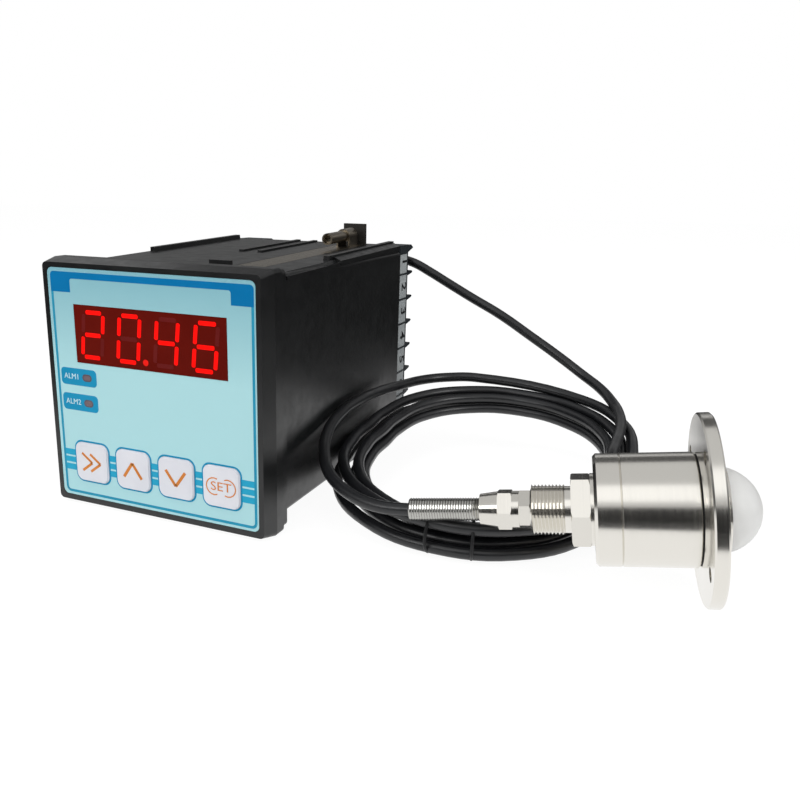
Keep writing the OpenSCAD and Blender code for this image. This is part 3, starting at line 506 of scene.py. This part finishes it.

# painted shade: a fine blue ring round each key opening, standing in for the shadowed gap between
# key and overlay
key_gap_shade = bmesh.new()
for x in KEY_XS:
    rings = []
    for reach, corner in zip((GAP_SHADE_IN, GAP_SHADE_OUT), GAP_SHADE_CORNERS):
        half = KEY_HALF + reach
        square = [(x - half, KEY_Z - half), (x - half, KEY_Z + half), (x + half, KEY_Z + half),
                  (x + half, KEY_Z - half)]
        rings.append([key_gap_shade.verts.new((u, FRONT_Y - INK_T, v)) for u, v in
                      round_corners(square, {i: corner for i in range(4)})])
    inner, outer = rings
    for i in range(len(inner)):
        j = (i + 1) % len(inner)
        key_gap_shade.faces.new((inner[i], inner[j], outer[j], outer[i]))
thicken(key_gap_shade)
piece(key_gap_shade, "overlay_key_gap_shade", INK_MID)

# alarm tags, with the indicator's lens in each
LED_X = -29.0
LED_ZS = (51.9, 42.0)
TAG_FACE = FRONT_Y - INK_T
RIM_T = 0.03
LENS_T = 0.02
tags, lens_rims, lenses = bmesh.new(), bmesh.new(), bmesh.new()
for z in LED_ZS:
    bar(tags, -41.4, z - 3.3, -24.5, z + 3.3, corner=1.6)
    bar(lens_rims, LED_X - 2.2, z - 1.4, LED_X + 2.2, z + 1.4, TAG_FACE, RIM_T, 1.39, 8)
    bar(lenses, LED_X - 1.7, z - 0.95, LED_X + 1.7, z + 0.95, TAG_FACE - RIM_T, LENS_T, 0.94, 8)
piece(tags, "overlay_alarm_tags", INK_MID)
piece(lens_rims, "alarm_lens_rims", LED_BODY)
piece(lenses, "alarm_lenses", LED_CORE)


def lettering(words, name, size, place, material, body="set", weight=0.0):
    """Words laid flat at a place, turned to a mesh; place is a millimetre matrix."""
    curve = bpy.data.curves.new(name, "FONT")
    curve.body = words
    curve.size = size
    curve.align_x = curve.align_y = "CENTER"
    curve.extrude = INK_T / 2
    curve.offset = weight
    curve.resolution_u = 3
    source = bpy.data.objects.new(name + "_source", curve)
    scene.collection.objects.link(source)
    solved = source.evaluated_get(bpy.context.evaluated_depsgraph_get())
    mesh = bpy.data.meshes.new_from_object(solved)
    bpy.data.objects.remove(source)
    bm = bmesh.new()
    bm.from_mesh(mesh)
    bpy.data.meshes.remove(mesh)
    bmesh.ops.remove_doubles(bm, verts=bm.verts, dist=1e-4)
    bmesh.ops.transform(bm, matrix=place, verts=bm.verts)
    return piece(bm, name, material, body)


FACE_ON = Matrix.Rotation(pi / 2, 4, "X")
for number, z in zip("12", LED_ZS):
    place = Matrix.Translation((-36.3, TAG_FACE - INK_T / 2, z)) @ FACE_ON
    lettering("ALM" + number, "tag_words_" + number, 3.0, place, INK_PALE)

# ---------------------------------------------------------------- red digits

WINDOW_Z = 68.6
DIGIT_H = 18.4
DIGIT_W = 9.0
STROKE_W = 1.6
SLANT = tan(radians(5.5))
GLASS_Y = -9.42
SEGMENTS = {
    "a": ((0.1, 1), (0.9, 1)), "b": ((1, 0.95), (1, 0.55)), "c": ((1, 0.45), (1, 0.05)),
    "d": ((0.1, 0), (0.9, 0)), "e": ((0, 0.45), (0, 0.05)), "f": ((0, 0.95), (0, 0.55)),
    "g": ((0.1, 0.5), (0.9, 0.5)),
}
LIT_SEGMENTS = {"2": "abged", "0": "abcdef", "4": "fgbc", "6": "afgedc"}
DIGIT_XS = (-24.8, -8.4, 8.0, 24.4)
lit, ghost = bmesh.new(), bmesh.new()
for x, figure in zip(DIGIT_XS, "2046"):
    for part, ends in SEGMENTS.items():
        ends = [(x + (u - 0.5) * DIGIT_W + (v - 0.5) * DIGIT_H * SLANT,
                 WINDOW_Z + (v - 0.5) * (DIGIT_H - STROKE_W)) for u, v in ends]
        on = part in LIT_SEGMENTS[figure]
        stroke(lit if on else ghost, ends[0], ends[1], STROKE_W, GLASS_Y, 0.03, 0.4)
piece(lit, "lit_segments", LIT)
piece(ghost, "unlit_segments", GHOST)
point = bmesh.new()
bmesh.ops.create_cone(point, cap_ends=True, segments=24, radius1=1.2, radius2=1.2, depth=0.03)
bmesh.ops.transform(point, matrix=Matrix.Translation(
    (-1.4, GLASS_Y, WINDOW_Z - DIGIT_H / 2 + 1.2)) @ FACE_ON, verts=point.verts)
piece(point, "decimal_point", DIM)

# ---------------------------------------------------------------- key symbols

BEZEL_FRONT = -9.5
KEY_PROUD = 0.7
KEY_FACE = BEZEL_FRONT - KEY_PROUD


def chevron(bm, x, z, direction, reach, half, width):
    """Two strokes that meet in a point; direction is (dx, dz)."""
    dx, dz = direction
    tip = (x + dx * reach / 2, z + dz * reach / 2)
    for side in (-1, 1):
        tail = (x - dx * reach / 2 - dz * side * half, z - dz * reach / 2 + dx * side * half)
        stroke(bm, tail, tip, width, KEY_FACE)


shift_mark = bmesh.new()
for dx in (-2.0, 1.9):
    chevron(shift_mark, KEY_XS[0] + dx, KEY_Z, (1, 0), 4.8, 3.5, 1.0)
piece(shift_mark, "shift_symbol", INK_ORANGE, "key_shift")
up_mark = bmesh.new()
chevron(up_mark, KEY_XS[1], KEY_Z, (0, 1), 5.8, 4.1, 1.2)
piece(up_mark, "up_symbol", INK_ORANGE, "key_up")
down_mark = bmesh.new()
chevron(down_mark, KEY_XS[2], KEY_Z, (0, -1), 5.8, 4.3, 1.2)
piece(down_mark, "down_symbol", INK_ORANGE, "key_down")
place = Matrix.Translation((KEY_XS[3], KEY_FACE - INK_T / 2, KEY_Z)) @ FACE_ON @ Matrix.Diagonal(
    (1.3, 1.08, 1, 1))
lettering("SET", "set_word", 4.4, place, INK_ORANGE, "key_set")
# the ring round the word is two arcs, each of this sweep about its own centre
RING_APART = 2.9
RING_R = 3.2
RING_SWEEP = 230
RING_STEPS = 10
set_ring = bmesh.new()
for side in (-1, 1):
    for i in range(RING_STEPS):
        a, b = (radians(-RING_SWEEP / 2 + RING_SWEEP * (i + d) / RING_STEPS) for d in (0, 1))
        x0 = KEY_XS[3] + side * RING_APART
        stroke(set_ring, (x0 + side * RING_R * cos(a), KEY_Z + RING_R * sin(a)),
               (x0 + side * RING_R * cos(b), KEY_Z + RING_R * sin(b)), 0.45, KEY_FACE)
piece(set_ring, "set_ring", INK_ORANGE, "key_set")

# ---------------------------------------------------------------- terminal numbers

TERMINALS = 7
TERMINAL_PITCH = 11.9
CASE_TOP, CASE_BOTTOM = 93.3, 4.8
COLUMN_LIFT = 3.1
TERMINAL_TOP = (CASE_TOP + CASE_BOTTOM) / 2 + COLUMN_LIFT + TERMINALS / 2 * TERMINAL_PITCH
# the tags lie in the outer side of the right column
SIDE_X = 45.5 - 0.4
TAG_GAP = 0.35
TAG_T = 0.06
FACE_SIDE = Matrix.Rotation(pi / 2, 4, "Z") @ Matrix.Rotation(pi / 2, 4, "X")
for i in range(TERMINALS):
    z = TERMINAL_TOP - (i + 0.5) * TERMINAL_PITCH
    low = z - TERMINAL_PITCH / 2 + TAG_GAP + 0.1
    high = min(z + TERMINAL_PITCH / 2 - TAG_GAP, TERMINAL_TOP - 2.4) - 0.1
    plate = bmesh.new()
    made = bmesh.ops.create_cube(plate, size=1)["verts"]
    bmesh.ops.transform(plate, matrix=Matrix.Translation((SIDE_X + 0.04, 128.1, (low + high) / 2)) @
                        Matrix.Diagonal((TAG_T, 9.8, high - low, 1)), verts=made)
    piece(plate, "terminal_tag_%d" % (i + 1), PBT_PALE)
    place = Matrix.Translation((SIDE_X + 0.1, 129.4, z)) @ FACE_SIDE @ Matrix.Rotation(
        -pi / 2, 4, "Z")
    lettering(str(i + 1), "terminal_number_%d" % (i + 1), 8.2, place, INK_BLACK,
              weight=0.16)

# ---------------------------------------------------------------- threads


def thread(name, x0, x1, pitch, root, crest, material):
    """A helical thread round the sensor's axis between two stations, closed by flat ends."""
    bm = bmesh.new()
    turns = int((x1 - x0) / pitch) + 3
    start = x0 - 1.5 * pitch
    steps = 48
    low = [bm.verts.new((start + k * pitch, 0, root)) for k in range(turns + 1)]
    high = [bm.verts.new((start + (k + 0.5) * pitch, 0, crest)) for k in range(turns)]
    chain = []
    for k in range(turns):
        chain += [bm.edges.new((low[k], high[k])), bm.edges.new((high[k], low[k + 1]))]
    bmesh.ops.spin(bm, geom=low + high + chain, cent=(0, 0, 0), axis=(1, 0, 0),
                   dvec=(pitch / steps, 0, 0), angle=2 * pi, steps=steps, use_merge=False,
                   use_duplicate=False)
    bmesh.ops.remove_doubles(bm, verts=bm.verts, dist=pitch * 0.02)
    for at, way in ((x0, -1), (x1, 1)):
        bmesh.ops.bisect_plane(bm, geom=bm.verts[:] + bm.edges[:] + bm.faces[:],
                               plane_co=(at, 0, 0), plane_no=(way, 0, 0), clear_outer=True)
    bmesh.ops.holes_fill(bm, edges=[e for e in bm.edges if e.is_boundary], sides=0)
    bmesh.ops.transform(bm, matrix=Matrix.Translation(SENSOR_AT) @ SENSOR_TURN.to_4x4(),
                        verts=bm.verts)
    return piece(bm, name, material)


thread("nipple_thread", -49.6, -39.4, 1.1, 7.35, 8.05, STAINLESS)
thread("boss_thread", 4.2, 6.7, 0.95, 14.42, 14.85, STAINLESS)

# ---------------------------------------------------------------- studio, in metres

FLOOR_HALF = 3.0
FLOOR_DROP = 0.0002
# how bright the camera sees the floor, and how much of that is the floor's own glow
FLOOR_GLOW = 1.12
GLOW_SHARE = 0.84
# bright things mirror a white floor that darkens away from the set
SPOT_AT = (0.10, -0.05, 0)
SPOT_FADE = span(0.20, 0.38, 1.0, 0.03)

floor_mesh = bpy.data.meshes.new("floor")
floor_bm = bmesh.new()
bmesh.ops.create_grid(floor_bm, x_segments=1, y_segments=1, size=FLOOR_HALF)
floor_bm.to_mesh(floor_mesh)
floor_bm.free()
floor = bpy.data.objects.new("floor", floor_mesh)
floor.location.z = -FLOOR_DROP
scene.collection.objects.link(floor)
white_paper, _tree, _surface = shader("white_paper", "#F2F2F2", 0.9)
_path = add(_tree, "LightPath").outputs
_part = add(_tree, "Math", {0: _path["Is Camera Ray"]}, {1: GLOW_SHARE}, operation="MULTIPLY")
_shine = add(_tree, "Math", {0: _part.outputs[0], 1: _path["Is Glossy Ray"]}, operation="ADD")
_spot = add(_tree, "VectorMath", {0: add(_tree, "TexCoord").outputs["Object"]}, {1: SPOT_AT},
            operation="DISTANCE")
_far = add(_tree, "MapRange", {"Value": _spot.outputs["Value"]}, SPOT_FADE,
           interpolation_type="SMOOTHSTEP")
_level = add(_tree, "MapRange", {"Value": _path["Is Camera Ray"], "To Min": _far.outputs["Result"]},
             {"To Max": FLOOR_GLOW})
_glow = add(_tree, "Emission", {"Strength": _level.outputs["Result"]})
_blend = add(_tree, "MixShader", {0: _shine.outputs[0], 1: _surface.outputs[0],
                                  2: _glow.outputs[0]})
_tree.links.new(_blend.outputs[0], _tree.nodes["Material Output"].inputs["Surface"])
dress(floor, white_paper)


def card(name, width, height, place, aim, colour, spin=0.0):
    """A dark board that only reflections see, so that bright metal shows it as a band."""
    bm = bmesh.new()
    bmesh.ops.create_grid(bm, x_segments=1, y_segments=1, size=0.5)
    bmesh.ops.transform(bm, matrix=Matrix.Diagonal((width, height, 1, 1)), verts=bm.verts)
    mesh = bpy.data.meshes.new(name)
    bm.to_mesh(mesh)
    bm.free()
    board = bpy.data.objects.new(name, mesh)
    facing = (Vector(aim) - Vector(place)).to_track_quat("Z", "Y").to_matrix().to_4x4()
    board.matrix_world = (Matrix.Translation(place) @ facing
                          @ Matrix.Rotation(radians(spin), 4, "Z"))
    scene.collection.objects.link(board)
    material, _, _ = shader(name + "_felt", colour, 0.95)
    dress(board, material)
    board.visible_camera = board.visible_diffuse = board.visible_shadow = False
    return board


# in front at the height of the horizon, on the floor in front, and high behind the set
card("dark_card_front", 1.4, 0.30, (0.24, -0.56, 0.15), (0.16, 0.02, 0.15), "#262626")
card("dark_card_low", 1.3, 0.40, (0.25, -0.28, 0.0006), (0.25, -0.28, 1.0), "#242424", 24.5)
card("dark_card_back", 1.2, 0.34, (0.10, 0.62, 0.52), (0.16, 0.02, 0.03), "#5A5A5A")

WHITE = (1, 1, 1, 1)
SOFT_LIGHT = 0.36
# what bright metal mirrors: a white panel above the camera's side, grey round it, dark low down
PANEL_WAY = (0.06, -0.60, 0.80)
PANEL_EDGE = span(0.93, 0.98, 0.62, 1.2)
LOW_DOWN = span(0.06, 0.42, 0.13, 1.0)

world = bpy.data.worlds.new("studio")
scene.world = world
world.use_nodes = True
tree = world.node_tree
tree.nodes.clear()
path = add(tree, "LightPath").outputs
seen = add(tree, "Math", {0: path["Is Camera Ray"], 1: path["Is Glossy Ray"]},
           operation="MAXIMUM")
seen = add(tree, "Math", {0: seen.outputs[0], 1: path["Is Transmission Ray"]},
           operation="MAXIMUM")
soft = add(tree, "Background", None, {"Color": WHITE, "Strength": SOFT_LIGHT})
way = add(tree, "TexCoord").outputs["Generated"]
toward = add(tree, "VectorMath", {0: way}, {1: PANEL_WAY}, operation="DOT_PRODUCT")
panel = add(tree, "MapRange", {"Value": toward.outputs["Value"]}, PANEL_EDGE,
            interpolation_type="SMOOTHSTEP")
rise = add(tree, "SeparateXYZ", {0: way})
low = add(tree, "MapRange", {"Value": rise.outputs["Z"]}, LOW_DOWN,
          interpolation_type="SMOOTHSTEP")
mirror = add(tree, "Math", {0: panel.outputs["Result"], 1: low.outputs["Result"]},
             operation="MULTIPLY")
level = add(tree, "MapRange", {"Value": path["Is Glossy Ray"], "To Max": mirror.outputs[0]},
            {"To Min": 1.0})
bright = add(tree, "Background", {"Strength": level.outputs["Result"]}, {"Color": WHITE})
both = add(tree, "MixShader", {0: seen.outputs[0], 1: soft.outputs[0], 2: bright.outputs[0]})
add(tree, "OutputWorld", {"Surface": both.outputs[0]})


def softbox(name, place, aim, width, height, watts, mirrored=True):
    """A plain area light; a lamp that is not mirrored shows in no reflection."""
    lamp = bpy.data.lights.new(name, "AREA")
    lamp.shape = "RECTANGLE"
    lamp.size, lamp.size_y = width, height
    lamp.energy = watts
    thing = bpy.data.objects.new(name, lamp)
    thing.matrix_world = Matrix.Translation(place) @ (Vector(place) - Vector(aim)).to_track_quat(
        "Z", "Y").to_matrix().to_4x4()
    thing.visible_glossy = mirrored
    scene.collection.objects.link(thing)


softbox("softbox_top", (-0.2, -0.3, 1.0), (0.08, 0.05, 0.03), 0.8, 0.8, 4.7, mirrored=False)
softbox("softbox_front", (-0.3, -0.9, 0.5), (0.05, 0.0, 0.05), 0.6, 0.5, 3.0)
softbox("softbox_side", (1.0, -0.2, 0.6), (0.1, 0.05, 0.04), 0.5, 0.5, 2.9)
